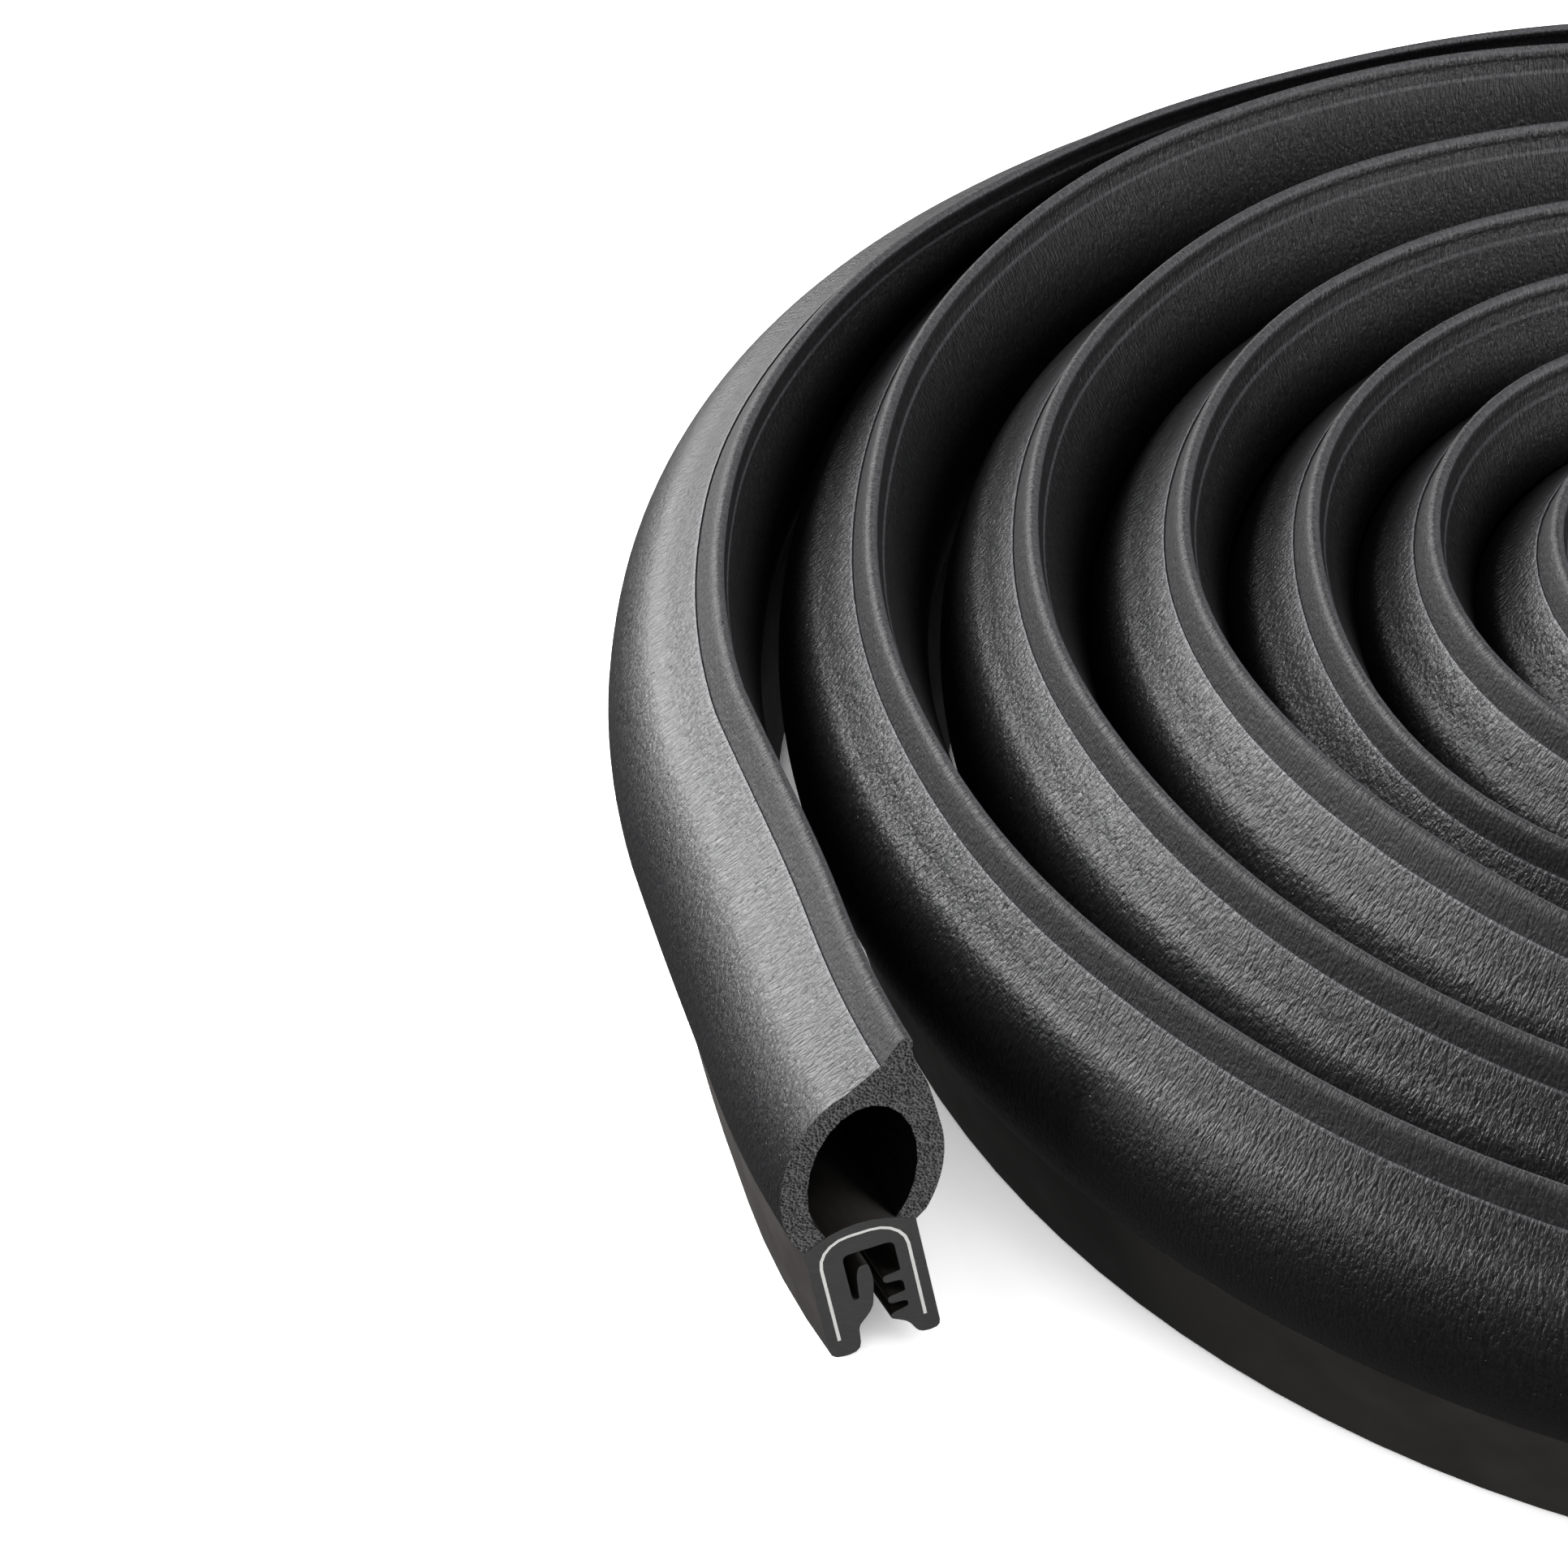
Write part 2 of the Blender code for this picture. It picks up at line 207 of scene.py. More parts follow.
def spongeOutline():
    # oval skin, lip drawn by a smooth curve with a crease, and back through the hollow's oval;
    # the knots that shape the lip are in metres from the crease or the rim, or in its thickness
    footAngle = math.asin((bulb["seat"] + bulb["foot"]) * 2 / bulb["height"] - 1)
    crease, (rimU, rimW), _ = lipPoints()
    thick = bulb["rimThickness"]
    notch = bulb["notch"]
    blendStart = ovalPoints(np.radians([bulb["topBlend"] - 12, bulb["topBlend"]]))
    shoulder = smoothCurve(np.vstack([blendStart, [(crease[0] + 0.0017, crease[1] - 0.0011)], [crease]]), 10)
    lipSide = smoothCurve([
        (crease[0] - 0.5 * notch, crease[1] - notch),
        (crease[0] - 0.0007, crease[1] + 0.0006),
        (rimU + 1.15 * thick, rimW - 0.45 * thick),
        (rimU + 0.75 * thick, rimW - 0.06 * thick),
        (rimU + 0.30 * thick, rimW),
        (rimU + 0.02 * thick, rimW - 0.30 * thick),
        (rimU, rimW - 0.80 * thick),
        (rimU + 0.10 * thick, rimW - 1.15 * thick),
    ], 19)
    faceFoot = ovalPoints(np.radians([bulb["faceBlend"], bulb["faceBlend"] + 8]))
    face = smoothCurve(np.vstack([
        [(rimU + 0.10 * thick, rimW - 1.15 * thick)],
        [(rimU - 0.05 * thick, rimW - bulb["rimDepth"])],
        [(rimU - 0.0010, rimW - 0.0068)],
        faceFoot,
    ]), 14)[1:-3]
    outer = ovalPoints(np.linspace(footAngle, math.radians(bulb["topBlend"] - 12), 18))
    inner = ovalPoints(np.linspace(math.radians(bulb["faceBlend"]), math.pi - footAngle, 9))
    hollow = ovalPoints(
        np.linspace(seamAngle(math.pi, 1.5 * math.pi), seamAngle(0, -0.5 * math.pi), 18), bulb["wall"])
    footW = clip["height"] + bulb["bondGap"]
    footU = np.linspace(-halfClip, hollow[0, 0], 4)[1:-1]
    innerFoot = np.column_stack([footU, crownHeight(footU) + bulb["bondGap"]])
    footU = np.linspace(hollow[-1, 0], halfClip, 4)[1:-1]
    outerFoot = np.column_stack([footU, crownHeight(footU) + bulb["bondGap"]])
    return np.vstack([
        [(halfClip, footW)], outer, shoulder[1:], lipSide, face, inner,
        [(-halfClip, footW)], innerFoot, hollow, outerFoot,
    ])


def clipOutline():
    # arched crown, inner leg with lip and ribs, channel with its finger, outer leg, corners rounded
    crownU = np.linspace(halfClip, -halfClip, 9)
    corners = [(u, crownHeight(u), 0.0) for u in crownU]
    soft, tight = clip["footRound"], clip["tight"]
    ribTip = innerWall + clip["ribLength"]
    halfRib = clip["ribThickness"] / 2
    corners += [
        (-halfClip, 0.0, soft),
        (innerWall - 0.0004, 0.0, 0.0009),
        (innerWall + 0.0004, 0.0021, 0.0007),
        (ribTip + 0.0002, clip["lipHeight"] - 1.4 * halfRib, 0.0004),
        (ribTip - 0.0001, clip["lipHeight"] - 0.5 * halfRib, 0.0003),
        (innerWall, clip["lipHeight"] + 0.1 * halfRib, tight),
    ]
    for rib in range(clip["ribs"]):
        middle = clip["lipHeight"] - halfRib + clip["ribPitch"] * (rib + 0.75)
        corners += [
            (innerWall, middle - halfRib, tight),
            (ribTip, middle - 0.75 * halfRib, 0.0004),
            (ribTip, middle + 0.65 * halfRib, 0.0004),
            (innerWall, middle + halfRib, 0.0002),
        ]
    rootTop = clip["fingerBase"] + clip["fingerRoot"]
    tipW = rootTop + clip["fingerRise"]
    belly = ribTip + clip["gripGap"]
    back = belly + clip["fingerTip"]
    corners += [
        (innerWall, clip["depth"], 0.0008),
        (outerWall, clip["depth"], 0.0008),
        (outerWall, rootTop, 0.0004),
        (outerWall - 0.0007, rootTop, 0.0004),
        (back + 0.0003, tipW - 0.0012, 0.0007),
        (back - 0.0001, tipW, 0.0005),
        (belly + 0.0001, tipW, 0.0005),
        (belly - 0.0001, tipW - 0.0022, 0.0012),
        (belly + 0.0006, clip["fingerBase"] + 0.0010, 0.0012),
        (outerWall, clip["fingerBase"] - 0.0009, 0.0006),
        (outerWall + 0.0003, 0.0, 0.0013),
        (halfClip, 0.0, soft),
    ]
    corners = np.array(corners)
    return rounded(corners[:, :2], corners[:, 2])


def stripOutline(half, longer):
    # a U drawn half its thickness to each side of its middle line, with two quarter bends;
    # longer runs its legs further down, for a slot that is open at the strip's edges
    span = halfClip - core["inset"]
    top = clip["height"] + clip["crownRise"] - core["cover"]
    foot = core["foot"] - longer
    turn = np.linspace(0, math.pi / 2, 6)
    sides = []
    for side in (half, -half):
        radius = core["bend"] + side
        bendU = span - core["bend"] + radius * np.cos(turn)
        bendW = top - core["bend"] + radius * np.sin(turn)
        right = np.column_stack([bendU, bendW])
        left = np.column_stack([-bendU, bendW])[::-1]
        sides.append(np.vstack([[(span + side, foot)], right, left, [(-span - side, foot)]]))
    return np.vstack([sides[0], sides[1][::-1]])


def leaned(outline, feet, lean):
    # turn by each ring's lean, (u cos + w sin, w cos - u sin), and set the clip's feet down on the floor
    lean = lean[:, None]
    floor = (feet[:, 1] * np.cos(lean) - feet[:, 0] * np.sin(lean)).min(1)[:, None]
    u, w = outline[:, 0], outline[:, 1]
    return np.stack([u * np.cos(lean) + w * np.sin(lean), w * np.cos(lean) - u * np.sin(lean) - floor], -1)


# route

def bell(x, middle, over):
    # exp(-((x - middle) / over)^2)
    return np.exp(-((x - middle) / over) ** 2)


def ease(share):
    # smoothstep: 3 s^2 - 2 s^3 between 0 and 1
    share = np.clip(share, 0, 1)
    return share ** 2 * (3 - 2 * share)


def leanAt(along):
    # the end's lean eased into the coil's
    grown = ease((along - coil["endLeanLength"]) / coil["leanLength"])
    return np.radians(coil["endLean"] + (coil["coilLean"] - coil["endLean"]) * grown)


def kickShare(along):
    # rises behind the cut as s (2 - s), is held, and is eased out again
    rise = np.clip(along / coil["kickRise"], 0, 1)
    fade = ease((along - coil["kickFrom"]) / coil["kickFade"])
    return rise * (2 - rise) * (1 - fade)


def swayAt(passed):
    # a bell where the outermost turn falls in, and a pair of bells for the turns that meet near the front
    front = (bell(passed, coil["frontSwayAt"], coil["frontSwayOver"])
             - bell(passed + 1, coil["frontSwayAt"], coil["frontSwayOver"]))
    back = bell(passed, coil["backSwayAt"], coil["backSwayOver"])
    return coil["backSway"] * back + coil["frontSway"] * front


def radiusAt(out, turns):
    # eye + pitch n + loosening max(0, n - n0)^2 / 2, less a bell where the outermost turn is drawn in
    loose = np.maximum(0, out - max(0, turns - coil["looseTurns"]))
    slack = coil["loosening"] * np.maximum(0, loose - 0.5)
    drawn = coil["drawnIn"] * slack * bell(turns - out, coil["drawnInAt"], coil["drawnInOver"])
    return coil["eyeRadius"] + coil["innerPitch"] * out + coil["loosening"] * loose ** 2 / 2 - drawn


def turnsInLength():
    # halving: the mean radius times the angle uses up the sold length
    low, high = 0.0, 60.0
    share = (np.arange(400) + 0.5) / 400
    for _ in range(60):
        middle = (low + high) / 2
        coiled = 2 * math.pi * middle * radiusAt(share * middle, middle).mean()
        low, high = (middle, high) if coiled < coil["soldLength"] - coil["tailLength"] else (low, middle)
    return low


def route():
    # rings evenly spaced along the length: straight tail, then the spiral read off its running length
    turns = turnsInLength()
    fine = np.linspace(0, turns, 20000)
    radius = radiusAt(turns - fine, turns)
    run = np.concatenate([[0], np.cumsum((radius[1:] + radius[:-1]) / 2 * np.diff(fine) * 2 * math.pi)])
    along = np.linspace(0, coil["tailLength"] + run[-1], coil["stations"])
    passed = np.interp(along - coil["tailLength"], run, fine)           # turns gone by, 0 on the tail
    bearing = math.radians(coil["tailBearing"]) - 2 * math.pi * passed
    radius = radiusAt(turns - passed, turns)
    spacing = radius - radiusAt(turns - passed - 1, turns)
    points = radius[:, None] * np.column_stack([np.cos(bearing), np.sin(bearing)])
    tail = np.maximum(0, coil["tailLength"] - along)[:, None]
    points = points + tail * [-math.sin(bearing[0]), math.cos(bearing[0])]
    return along, passed, points, bearing, spacing


def settled(sections, held, spacing, passed):
    # u gains sway times lift, which grows from the seam to the rim; a level wider than the room that
    # the next turn in leaves shrinks towards its outer skin: u = outer - (outer - u) room / width
    levels = sections[..., 1]
    low, high = levels[:, None, :], np.roll(levels, -1, axis=1)[:, None, :]
    here = levels[..., None]
    cross = (low - here) * (high - here) <= 0
    share = (here - low) / np.where(high == low, 1, high - low)
    reach = sections[..., 0]
    across = reach[:, None, :] + share * (np.roll(reach, -1, axis=1) - reach)[:, None, :]
    outer = np.where(cross, across, -1).max(2)
    width = outer - np.where(cross, across, 1).min(2)
    seam = levels[:, held].max(1)[:, None]
    lift = np.where(held, 0, np.clip((levels - seam) / (levels.max(1)[:, None] - seam), 0, 1))
    sway, nextSway = swayAt(passed)[:, None], swayAt(passed + 1)[:, None]
    room = spacing[:, None] - coil["turnGap"] + (sway - nextSway) * lift
    scale = np.where(held, 1, np.minimum(1, room / np.maximum(width, 1e-7)))
    return np.stack([outer - (outer - reach) * scale + sway * lift, levels], -1)


def innerEdge(sections, levels):
    # the clip's innermost reach at each level, straight from its inner foot to its inner shoulder,
    # and out of the way above that
    shoulder = sections[:, :, 1].argmax(1)
    rows = np.arange(len(sections))
    topU, topW = sections[rows, shoulder, 0][:, None], sections[rows, shoulder, 1][:, None]
    foot = sections[..., 0].argmin(1)
    lowU, lowW = sections[rows, foot, 0][:, None], sections[rows, foot, 1][:, None]
    share = np.clip((levels - lowW) / (topW - lowW), 0, 1)
    return np.where(levels > topW, 1.0, lowU + (topU - lowU) * share)


# meshes

def girthOf(outline):
    # running length round a closed outline
    steps = np.linalg.norm(np.diff(np.vstack([outline, outline[:1]]), axis=0), axis=1)
    return np.concatenate([[0], np.cumsum(steps)])


def sweptPiece(name, sections, points, bearing, along, materials):
    # point = route + u (cos b, sin b) in plan and w up; each section may change from ring to ring
    corners, quads, maps, count = [], [], [], 0
    rings = len(points)
    ends = [[], []]
    for section in sections:
        section = np.broadcast_to(section, (rings, *section.shape[-2:]))
        around = section.shape[1]
        x = points[:, :1] + np.cos(bearing)[:, None] * section[..., 0]
        y = points[:, 1:] + np.sin(bearing)[:, None] * section[..., 0]
        corners.append(np.stack([x, y, section[..., 1]], -1).reshape(-1, 3))
        ring, corner = np.meshgrid(np.arange(rings - 1), np.arange(around), indexing="ij")
        here = count + ring * around
        after = (corner + 1) % around
        quads.append(np.stack([here + corner, here + around + corner, here + around + after, here + after],
                              -1).reshape(-1, 4))
        girth = girthOf(section[0])
        s0, s1 = along[ring], along[ring + 1]
        g0, g1 = girth[corner], girth[corner + 1]
        maps.append(np.stack([s0, g0, s1, g0, s1, g1, s0, g1], -1).reshape(-1, 2))
        ends[0] += range(count, count + around)
        ends[1] += range(count + (rings - 1) * around, count + rings * around)
        count += rings * around
    mesh = bpy.data.meshes.new(name)
    mesh.from_pydata(np.vstack(corners).tolist(), [], np.vstack(quads).tolist())
    layer = mesh.uv_layers.new(name="sealUV")
    layer.data.foreach_set("uv", (np.vstack(maps) * 1000).ravel())      # millimetres along and around
    shape = bmesh.new()
    shape.from_mesh(mesh)
    uv = shape.loops.layers.uv.active
    for at in ends:
        members = set(at)
        edges = [e for e in shape.edges if e.is_boundary and e.verts[0].index in members]
        made = bmesh.ops.triangle_fill(shape, use_beauty=True, edges=edges)["geom"]
        for face in [f for f in made if isinstance(f, bmesh.types.BMFace)]:
            face.material_index = len(materials) - 1
            for loop in face.loops:
                loop[uv].uv = (loop.vert.co.x * 1000, loop.vert.co.z * 1000)
    bmesh.ops.recalc_face_normals(shape, faces=shape.faces)
    shape.to_mesh(mesh)
    shape.free()
    mesh.shade_smooth()
    mesh.set_sharp_from_angle(angle=math.radians(35))
    for material in materials:
        mesh.materials.append(material)
    piece = bpy.data.objects.new(name, mesh)
    bpy.context.scene.collection.objects.link(piece)
    print(name, "has", len(mesh.polygons), "faces")
    return piece


# materials

def linear(hexColour):
    # sRGB hex to linear: ((c + 0.055) / 1.055)^2.4 above 0.04045, c / 12.92 below
    parts = [int(hexColour[i:i + 2], 16) / 255 for i in (1, 3, 5)]
    return tuple(((c + 0.055) / 1.055) ** 2.4 if c > 0.04045 else c / 12.92 for c in parts) + (1.0,)


def addNode(tree, kind, settings=None, links=None):
    # adds one node, sets its properties and sockets, and links the sockets that are given
    node = tree.nodes.new(kind)
    for key, value in (settings or {}).items():
        if isinstance(key, str) and hasattr(node, key):
            setattr(node, key, value)
        else:
            node.inputs[key].default_value = value
    for key, source in (links or {}).items():
        tree.links.new(source, node.inputs[key])
    return node


def newMaterial(name):
    material = bpy.data.materials.new(name)
    material.use_nodes = True
    tree = material.node_tree
    return material, tree, tree.nodes["Principled BSDF"]


def colourRamp(tree, source, stops):
    ramp = addNode(tree, "ShaderNodeValToRGB", links={"Fac": source})
    elements = ramp.color_ramp.elements
    elements[0].position, elements[0].color = stops[0]
    elements[1].position, elements[1].color = stops[-1]
    for position, colour in stops[1:-1]:
        elements.new(position).color = colour
    return ramp.outputs["Color"]


spongeLook = {
    "dark": "#0a0a0b",
    "light": "#19191b",
    "pale": "#606064",              # painted highlight lines at the crease, the rim and under the rim
    "roughness": 0.37,
    "lipRoughness": 0.20,           # added on the lip's outer band
    "grainAlong": 0.30,             # mm, streaks are short along the seal
    "grainAround": 1.2,             # mm, and long around the bulb
    "pebble": 0.45,                 # mm
    "pitSpacing": 2.2,              # mm, cells of the pits' pattern; only few of them open
    "pitSize": 0.13,                # mm, the pits' radius, larger than real so that they show
    "grainDepth": 0.00020,          # metres, how deep the bumps look
    "pebbleDepth": 0.00008,
    "creaseLine": 0.32,             # mm, half widths of the pale lines of painted highlight
    "rimLine": 0.40,
    "innerLine": 0.25,
}


def lineMask(tree, around, at, half):
    # 1 on the line, falling to 0 at its half width: smoothstep of |around - at|
    off = addNode(tree, "ShaderNodeMath", {"operation": "SUBTRACT", 1: at}, {0: around})
    away = addNode(tree, "ShaderNodeMath", {"operation": "ABSOLUTE"}, {0: off.outputs["Value"]})
    return addNode(tree, "ShaderNodeMapRange", {
        "interpolation_type": "SMOOTHSTEP", "From Min": 0.4 * half, "From Max": 1.4 * half,
        "To Min": 1.0, "To Max": 0.0}, {"Value": away.outputs["Value"]}).outputs["Result"]


def spongeSkin(creaseAt, rimAt, innerAt):
    # EPDM sponge, salt-bath cured: its skin is charcoal, finely pebbled, with short wrinkles that run
    # round the bulb and break the satin light into streaks, and a few open pits, painted near black inside as
    # shade; the lip's band is duller, and the crease, the rim and the line under it get pale painted
    # highlights
    material, tree, shader = newMaterial("Sponge rubber, extruded skin")
    mapped = addNode(tree, "ShaderNodeUVMap", {"uv_map": "sealUV"}).outputs["UV"]
    around = addNode(tree, "ShaderNodeSeparateXYZ", links={"Vector": mapped}).outputs["Y"]
    streakSpace = addNode(tree, "ShaderNodeMapping", {
        "Scale": (1 / spongeLook["grainAlong"], 1 / spongeLook["grainAround"], 1)}, {"Vector": mapped})
    streak = addNode(tree, "ShaderNodeTexNoise", {"Scale": 1.0, "Detail": 3.0, "Distortion": 0.6},
                     {"Vector": streakSpace.outputs["Vector"]})
    pebble = addNode(tree, "ShaderNodeTexNoise", {"Scale": 1 / spongeLook["pebble"], "Detail": 2.0},
                     {"Vector": mapped})
    broad = addNode(tree, "ShaderNodeTexNoise", {"Scale": 0.06, "Detail": 3.0}, {"Vector": mapped})
    cells = addNode(tree, "ShaderNodeTexVoronoi", {"Scale": 1 / spongeLook["pitSpacing"]}, {"Vector": mapped})
    pitEdge = spongeLook["pitSize"] / spongeLook["pitSpacing"]
    pit = addNode(tree, "ShaderNodeMapRange", {
        "From Min": 0.6 * pitEdge, "From Max": 1.2 * pitEdge, "To Min": 1.0, "To Max": 0.0},
        {"Value": cells.outputs["Distance"]})
    both = addNode(tree, "ShaderNodeMath", {"operation": "MULTIPLY_ADD", 1: 0.5},
                   {0: streak.outputs["Fac"], 2: pebble.outputs["Fac"]})
    mixed = addNode(tree, "ShaderNodeMath", {"operation": "MULTIPLY_ADD", 1: 0.35},
                    {0: broad.outputs["Fac"], 2: both.outputs["Value"]})
    colour = colourRamp(tree, mixed.outputs["Value"], [
        (0.62, linear(spongeLook["dark"])), (1.15, linear(spongeLook["light"]))])
    lines = None
    for at, half in ((creaseAt, spongeLook["creaseLine"]), (rimAt, spongeLook["rimLine"]),
                     (innerAt, spongeLook["innerLine"])):
        mask = lineMask(tree, around, at, half)
        lines = mask if lines is None else addNode(
            tree, "ShaderNodeMath", {"operation": "MAXIMUM"}, {0: lines, 1: mask}).outputs["Value"]
    # painted highlight: pale lines on the crease, the rim and the line under the rim, broken up by the pebble
    paintedHighlight = addNode(tree, "ShaderNodeMath", {"operation": "MULTIPLY"}, {0: lines, 1: pebble.outputs["Fac"]})
    painted = addNode(tree, "ShaderNodeMix", {"data_type": "RGBA", 7: linear(spongeLook["pale"])},
                      {0: paintedHighlight.outputs["Value"], 6: colour})
    lip = addNode(tree, "ShaderNodeMapRange", {
        "From Min": creaseAt, "From Max": creaseAt + 0.3, "To Min": 0.0, "To Max": spongeLook["lipRoughness"],
    }, {"Value": around})
    inner = addNode(tree, "ShaderNodeMapRange", {
        "From Min": rimAt, "From Max": rimAt + 0.5, "To Min": 1.0, "To Max": 0.4}, {"Value": around})
    duller = addNode(tree, "ShaderNodeMath", {"operation": "MULTIPLY"},
                     {0: lip.outputs["Result"], 1: inner.outputs["Result"]})
    rough = addNode(tree, "ShaderNodeMapRange", {
        "From Min": 0.3, "From Max": 0.7, "To Min": spongeLook["roughness"] - 0.05,
        "To Max": spongeLook["roughness"] + 0.10}, {"Value": streak.outputs["Fac"]})
    surface = addNode(tree, "ShaderNodeMath", {"operation": "ADD"},
                      {0: rough.outputs["Result"], 1: duller.outputs["Value"]})
    fine = addNode(tree, "ShaderNodeBump", {"Strength": 1.0, "Distance": spongeLook["grainDepth"]},
                   {"Height": streak.outputs["Fac"]})
    dented = addNode(tree, "ShaderNodeMath", {"operation": "SUBTRACT"},
                     {0: pebble.outputs["Fac"], 1: pit.outputs["Result"]})
    coarse = addNode(tree, "ShaderNodeBump", {"Strength": 1.0, "Distance": spongeLook["pebbleDepth"]},
                     {"Height": dented.outputs["Value"], "Normal": fine.outputs["Normal"]})
    # painted shade: the open pits are coloured near black, for the shade inside them, as well as dented
    pitted = addNode(tree, "ShaderNodeMix", {"data_type": "RGBA", 7: linear("#020202")},
                     {0: pit.outputs["Result"], 6: painted.outputs[2]})
    tree.links.new(pitted.outputs[2], shader.inputs["Base Color"])
    tree.links.new(surface.outputs["Value"], shader.inputs["Roughness"])
    tree.links.new(coarse.outputs["Normal"], shader.inputs["Normal"])
    shader.inputs["IOR"].default_value = 1.52
    return material


cutLook = {
    "cell": 0.00030,                # metres
    "mottle": 0.0009,
    "depth": 0.00025,
    # painted shade inside the open cells
    "pits": "#0c0c0c",
    "walls": "#2e2e2e",
    "edges": "#585858",
}


def spongeCut():
    # the same sponge cut across: cells of a third of a millimetre, black pits in dark grey walls; the pits'
    # black is painted shade inside the open cells
    material, tree, shader = newMaterial("Sponge rubber, knife-cut cells")
    place = addNode(tree, "ShaderNodeTexCoord").outputs["Object"]
    cells = addNode(tree, "ShaderNodeTexVoronoi", {
        "feature": "F1", "Scale": 1 / cutLook["cell"], "Randomness": 1.0}, {"Vector": place})
    mottled = addNode(tree, "ShaderNodeTexNoise", {"Scale": 1 / cutLook["mottle"], "Detail": 3.0},
                      {"Vector": place})
    height = addNode(tree, "ShaderNodeMath", {"operation": "MULTIPLY_ADD", 1: 0.6},
                     {0: mottled.outputs["Fac"], 2: cells.outputs["Distance"]})
    colour = colourRamp(tree, height.outputs["Value"], [
        (0.38, linear(cutLook["pits"])), (0.60, linear(cutLook["walls"])), (0.95, linear(cutLook["edges"]))])
    bump = addNode(tree, "ShaderNodeBump", {"Strength": 1.0, "Distance": cutLook["depth"]},
                   {"Height": height.outputs["Value"]})
    tree.links.new(colour, shader.inputs["Base Color"])
    tree.links.new(bump.outputs["Normal"], shader.inputs["Normal"])
    shader.inputs["Roughness"].default_value = 0.75
    shader.inputs["IOR"].default_value = 1.5
    return material


denseLook = {
    "dark": "#3c3937",
    "light": "#484543",
    "cutDark": "#393939",
    "cutLight": "#414141",
    "lineLength": 33.3,             # mm, the die's lines along the seal
    "lineWidth": 0.714,             # mm
    "bloomSize": 8.33,              # mm, patches where the satin is duller
}


def denseSkin():
    # dense EPDM extruded through a polished die: smooth satin with faint lines along the seal
    material, tree, shader = newMaterial("Dense rubber, die-extruded skin")
    mapped = addNode(tree, "ShaderNodeUVMap", {"uv_map": "sealUV"}).outputs["UV"]
    lineSpace = addNode(tree, "ShaderNodeMapping", {
        "Scale": (1 / denseLook["lineLength"], 1 / denseLook["lineWidth"], 1)}, {"Vector": mapped})
    lines = addNode(tree, "ShaderNodeTexNoise", {"Scale": 1.0, "Detail": 4.0},
                    {"Vector": lineSpace.outputs["Vector"]})
    bloom = addNode(tree, "ShaderNodeTexNoise", {"Scale": 1 / denseLook["bloomSize"], "Detail": 3.0},
                    {"Vector": mapped})
    colour = colourRamp(tree, bloom.outputs["Fac"], [
        (0.35, linear(denseLook["dark"])), (0.7, linear(denseLook["light"]))])
    rough = addNode(tree, "ShaderNodeMapRange", {
        "From Min": 0.3, "From Max": 0.7, "To Min": 0.36, "To Max": 0.50}, {"Value": bloom.outputs["Fac"]})
    bump = addNode(tree, "ShaderNodeBump", {"Strength": 0.6, "Distance": 0.00006},
                   {"Height": lines.outputs["Fac"]})
    tree.links.new(colour, shader.inputs["Base Color"])
    tree.links.new(rough.outputs["Result"], shader.inputs["Roughness"])
    tree.links.new(bump.outputs["Normal"], shader.inputs["Normal"])
    shader.inputs["IOR"].default_value = 1.52
    return material


def denseCut():
    # the dense rubber cut across: even dark grey, matt, with a trace of knife marks
    material, tree, shader = newMaterial("Dense rubber, knife-cut face")
    place = addNode(tree, "ShaderNodeTexCoord").outputs["Object"]
    marks = addNode(tree, "ShaderNodeMapping", {"Scale": (900, 900, 5200)}, {"Vector": place})
    noise = addNode(tree, "ShaderNodeTexNoise", {"Scale": 1.0, "Detail": 2.0},
                    {"Vector": marks.outputs["Vector"]})
    colour = colourRamp(tree, noise.outputs["Fac"], [
        (0.3, linear(denseLook["cutDark"])), (0.7, linear(denseLook["cutLight"]))])
    tree.links.new(colour, shader.inputs["Base Color"])
    shader.inputs["Roughness"].default_value = 0.62
    shader.inputs["IOR"].default_value = 1.5
    return material


steelLook = {
    "colour": "#fafaf8",
    "rolled": (0.32, 0.45),         # lowest and highest roughness of the strip's faces
    "sheared": (0.72, 0.86),        # and of its cut ends
}


def brightSteel(name, low, high):
    # cold-rolled steel strip: bright, and rough enough where it was sheared to scatter light to all sides
    material, tree, shader = newMaterial(name)
    place = addNode(tree, "ShaderNodeTexCoord").outputs["Object"]
    noise = addNode(tree, "ShaderNodeTexNoise", {"Scale": 4000.0, "Detail": 2.0}, {"Vector": place})
    rough = addNode(tree, "ShaderNodeMapRange", {"To Min": low, "To Max": high},
                    {"Value": noise.outputs["Fac"]})
    tree.links.new(rough.outputs["Result"], shader.inputs["Roughness"])
    shader.inputs["Base Color"].default_value = linear(steelLook["colour"])
    shader.inputs["Metallic"].default_value = 1.0
    return material


# the seal

along, passed, points, bearing, spacing = route()
flatSponge = spongeOutline()
held = flatSponge[:, 1] < crownHeight(flatSponge[:, 0]) + bulb["seamBand"]
flatClip = clipOutline()

# behind the cut the section leans less by the kick, and goes out by pivot (sin before - sin after) + bow,
# so that its feet swing about the crease
kicked = kickShare(along)
lean = leanAt(along) - math.radians(coil["kick"]) * kicked
kickOut = coil["kickPivot"] * (np.sin(leanAt(along)) - np.sin(lean)) + coil["bow"] * kicked
clipSections = leaned(flatClip, flatClip, lean)
coreSections = leaned(stripOutline(core["thickness"] / 2, 0), flatClip, lean)
slotSections = leaned(stripOutline(core["thickness"] / 2 + core["slotGap"], core["slotGap"]), flatClip, lean)
sponges = settled(leaned(flatSponge, flatClip, lean), held, spacing, passed)

# a bulb never reaches past the clip of the turn around it: u <= clip's inner edge + pitch - gap
outward = np.interp(passed - 1, passed, spacing, left=1.0)[:, None]
clipEdge = innerEdge(clipSections, sponges[..., 1])
sponges[..., 0] = np.minimum(sponges[..., 0], clipEdge + outward - coil["turnGap"])
for swept in (clipSections, coreSections, slotSections, sponges):
    swept[..., 0] += kickOut[:, None]

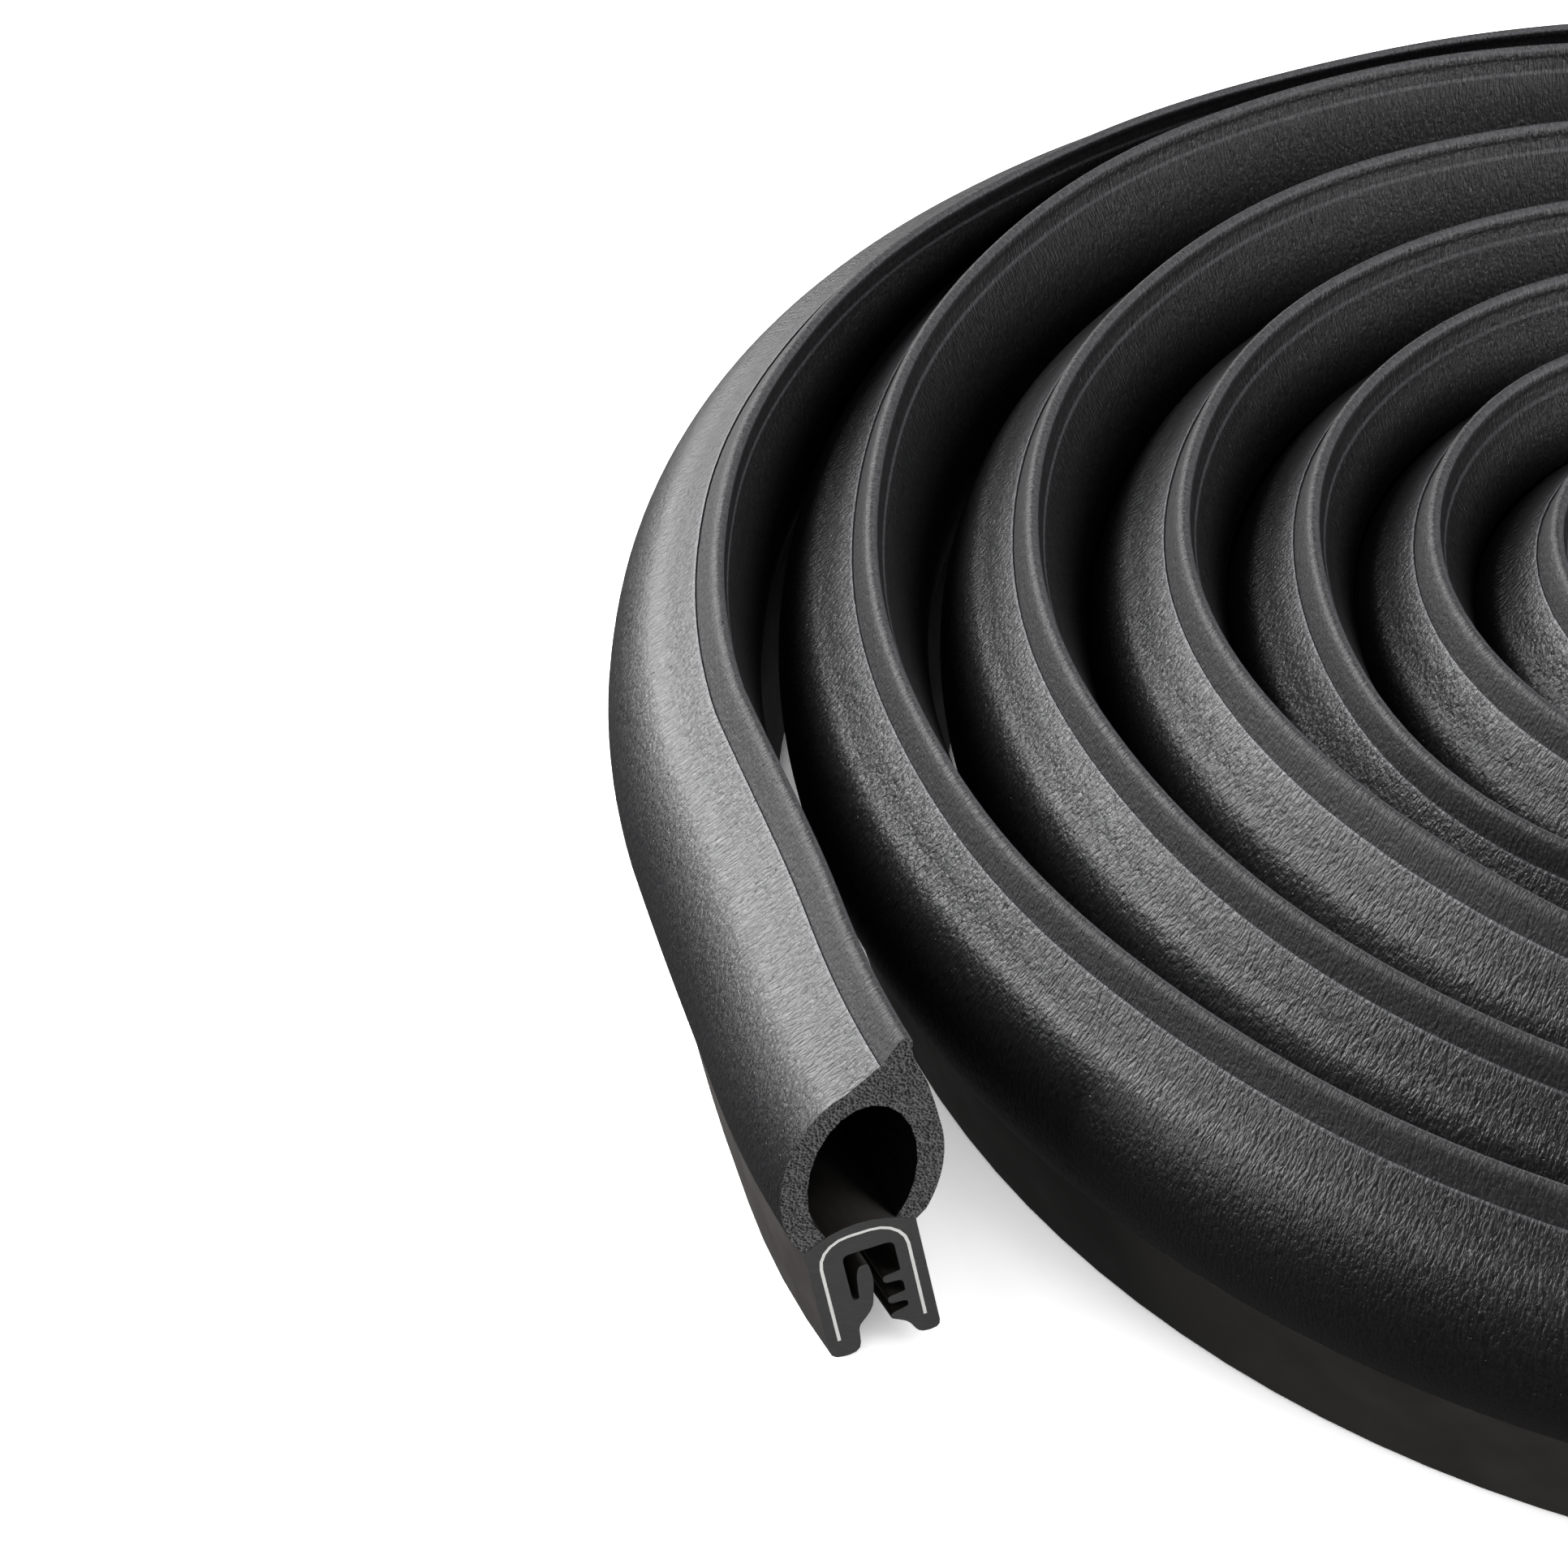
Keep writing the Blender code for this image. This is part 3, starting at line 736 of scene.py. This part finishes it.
# the lip wanders a little: u gets a sum of slow sines of the length in metres, growing towards the rim
wander = np.sin(along * 23.0) + 0.6 * np.sin(along * 61.0 + 1.3) + 0.35 * np.sin(along * 143.0 + 0.4)
grown = np.clip((sponges[..., 1] - bulb["waveFrom"]) / bulb["waveOver"], 0, 1) ** 1.5
sponges[..., 0] += bulb["rimWave"] * wander[:, None] * grown

# the coil's place: its box middle, worked out like the frame's, from the CAD's sponge box
boxLow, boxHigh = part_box("sponge_bulb")
reachX = points[:, :1] + np.cos(bearing)[:, None] * sponges[..., 0]
reachY = points[:, 1:] + np.sin(bearing)[:, None] * sponges[..., 0]
spread = np.array([[reachX.min(), reachX.max()], [reachY.min(), reachY.max()]])
middle = spread.mean(axis=1)
boxMiddle = np.array([(boxLow.x + boxHigh.x) / 2, (boxLow.y + boxHigh.y) / 2])
points = points - middle + boxMiddle

girth = girthOf(sponges[0]) * 1000
bandsAt = [girth[np.linalg.norm(flatSponge - mark, axis=1).argmin()] for mark in lipPoints()]
sponge = [spongeSkin(*bandsAt), spongeCut()]
spongePiece = sweptPiece("spongeBulb", [sponges], points, bearing, along, sponge)
every = slice(None, None, coil["clipStep"])
clipPiece = sweptPiece("denseClip", [clipSections[every], slotSections[every]], points[every], bearing[every],
                       along[every], [denseSkin(), denseCut()])
rolled = brightSteel("Steel strip, cold rolled", *steelLook["rolled"])
sheared = brightSteel("Steel strip, sheared", *steelLook["sheared"])
corePiece = sweptPiece("steelCore", [coreSections[every]], points[every], bearing[every], along[every],
                       [rolled, sheared])
for piece, node, slotName in (
    (spongePiece, "sponge_bulb", "sponge_rubber"),
    (clipPiece, "dense_clip", "dense_rubber"),
    (corePiece, "steel_core", "steel"),
):
    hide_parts(node)
    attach(piece, "root")
print("seal made")


# floor, light and camera

studio = {
    "floorHalf": 6.0,               # metres from the coil's middle to the floor's edges
    "glow": 0.96,
    "shadeReach": 0.02,             # metres that the ambient occlusion looks, for the painted shade
    "paintedShadeBelow": 0.20,              # share of open sky under which the floor doesn't glow, so it shows full painted shade
    "clearAbove": 0.38,             # and above which it glows fully, without painted shade
    "world": 0.06,
}


def makeFloor():
    # a pale flat sweep well past the coil that glows evenly like a light table, so shadows stay faint;
    # ambient occlusion cuts the glow as painted shade between the turns and at the coil's foot; the coil
    # doesn't mirror it
    half = studio["floorHalf"]
    corners = [(-half, -half, 0), (half, -half, 0), (half, half, 0), (-half, half, 0)]
    mesh = bpy.data.meshes.new("studioFloor")
    mesh.from_pydata(corners, [], [(0, 1, 2, 3)])
    material, tree, shader = newMaterial("Studio floor, white glow with painted shade")
    shader.inputs["Base Color"].default_value = linear("#fbfbfb")
    shader.inputs["Roughness"].default_value = 0.9
    shader.inputs["Emission Color"].default_value = linear("#ffffff")
    # painted shade: the glow fades where ambient occlusion finds the coil near, darkening the floor between
    # the turns
    clear = addNode(tree, "ShaderNodeAmbientOcclusion", {"samples": 2, "Distance": studio["shadeReach"]})
    glow = addNode(tree, "ShaderNodeMapRange", {
        "From Min": studio["paintedShadeBelow"], "From Max": studio["clearAbove"],
        "To Min": 0.0, "To Max": studio["glow"]}, {"Value": clear.outputs["AO"]})
    tree.links.new(glow.outputs["Result"], shader.inputs["Emission Strength"])
    mesh.materials.append(material)
    floor = bpy.data.objects.new("studioFloor", mesh)
    floor.visible_diffuse = floor.visible_glossy = False
    bpy.context.scene.collection.objects.link(floor)


lights = {                          # place, size in metres, watts
    "keyLeft": ((-0.90, 0.36, 0.56), 0.70, 20.0),
    "lowLeft": ((-1.10, -0.12, 0.22), 0.60, 8.0),
    "backLeft": ((-0.95, 1.10, 0.32), 0.90, 14.0),
    "topSoft": ((-0.15, 0.35, 1.5), 0.9, 2.5),
    "frontRight": ((1.05, -0.85, 0.22), 0.45, 17.0),
    "rightSoft": ((1.00, -0.30, 0.85), 0.60, 9.0),
}


def addLight(name, place, size, watts):
    data = bpy.data.lights.new(name, "AREA")
    data.shape, data.size, data.energy = "SQUARE", size, watts
    light = bpy.data.objects.new(name, data)
    light.location = place
    light.rotation_euler = (-Vector(place)).to_track_quat("-Z", "Y").to_euler()
    light.visible_camera = False
    bpy.context.scene.collection.objects.link(light)


def setWorld(hexColour, strength):
    world = bpy.data.worlds.new("studio")
    bpy.context.scene.world = world
    world.use_nodes = True
    background = world.node_tree.nodes["Background"]
    background.inputs["Color"].default_value = linear(hexColour)
    background.inputs["Strength"].default_value = strength


camera = {
    "place": (-0.11296, -0.47153, 0.38599),     # metres from the coil's middle on the floor
    "down": 39.25,                  # degrees below the horizon
    "roll": 3.31,
    "focal": 125.7,                 # mm on a 36 mm sensor
}


def addCamera():
    data = bpy.data.cameras.new("photoCamera")
    data.lens, data.sensor_width = camera["focal"], 36.0
    data.clip_start, data.clip_end = 0.01, 50.0
    down, roll = math.radians(camera["down"]), math.radians(camera["roll"])
    forward = Vector((0, math.cos(down), -math.sin(down)))
    flatUp = Vector((0, math.sin(down), math.cos(down)))
    right = math.cos(roll) * Vector((1, 0, 0)) + math.sin(roll) * flatUp
    up = math.cos(roll) * flatUp - math.sin(roll) * Vector((1, 0, 0))
    turn = Matrix((right, up, -forward)).transposed()
    view = bpy.data.objects.new("photoCamera", data)
    offset = Vector((*(boxMiddle - middle), 0))
    view.matrix_world = Matrix.Translation(Vector(camera["place"]) + offset) @ turn.to_4x4()
    bpy.context.scene.collection.objects.link(view)
    bpy.context.scene.camera = view


makeFloor()
for lightName, (place, size, watts) in lights.items():
    addLight(lightName, place, size, watts)
setWorld("#ffffff", studio["world"])
bpy.context.scene.view_settings.view_transform = "Standard"
addCamera()
print("floor, lights and camera placed")
